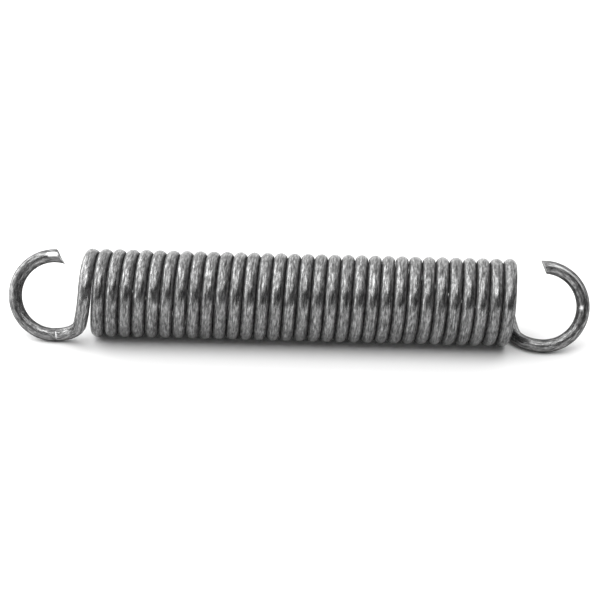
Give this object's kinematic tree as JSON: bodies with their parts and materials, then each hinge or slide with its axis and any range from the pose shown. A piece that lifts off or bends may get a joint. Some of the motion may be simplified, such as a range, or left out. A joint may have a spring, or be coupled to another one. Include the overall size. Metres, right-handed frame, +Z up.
{
  "type": "extension spring",
  "caption": "Close-coiled extension spring of round steel wire with an open hook at each end, both hooks in one plane through the coil's axis.",
  "frame": {"origin": "middle of the spring's length, on the ground under the coil's axis", "axes": "+X along the coil's axis, +Z up, -Y towards the side that the feet of the hooks lie on"},
  "size_m": [0.1452, 0.022, 0.022],
  "materials": {
    "wire": "dull dark spring steel with drawing lines and a mottled scale"
  },
  "bodies": {
    "root": {"spring": "wire"}
  },
  "joints": []
}
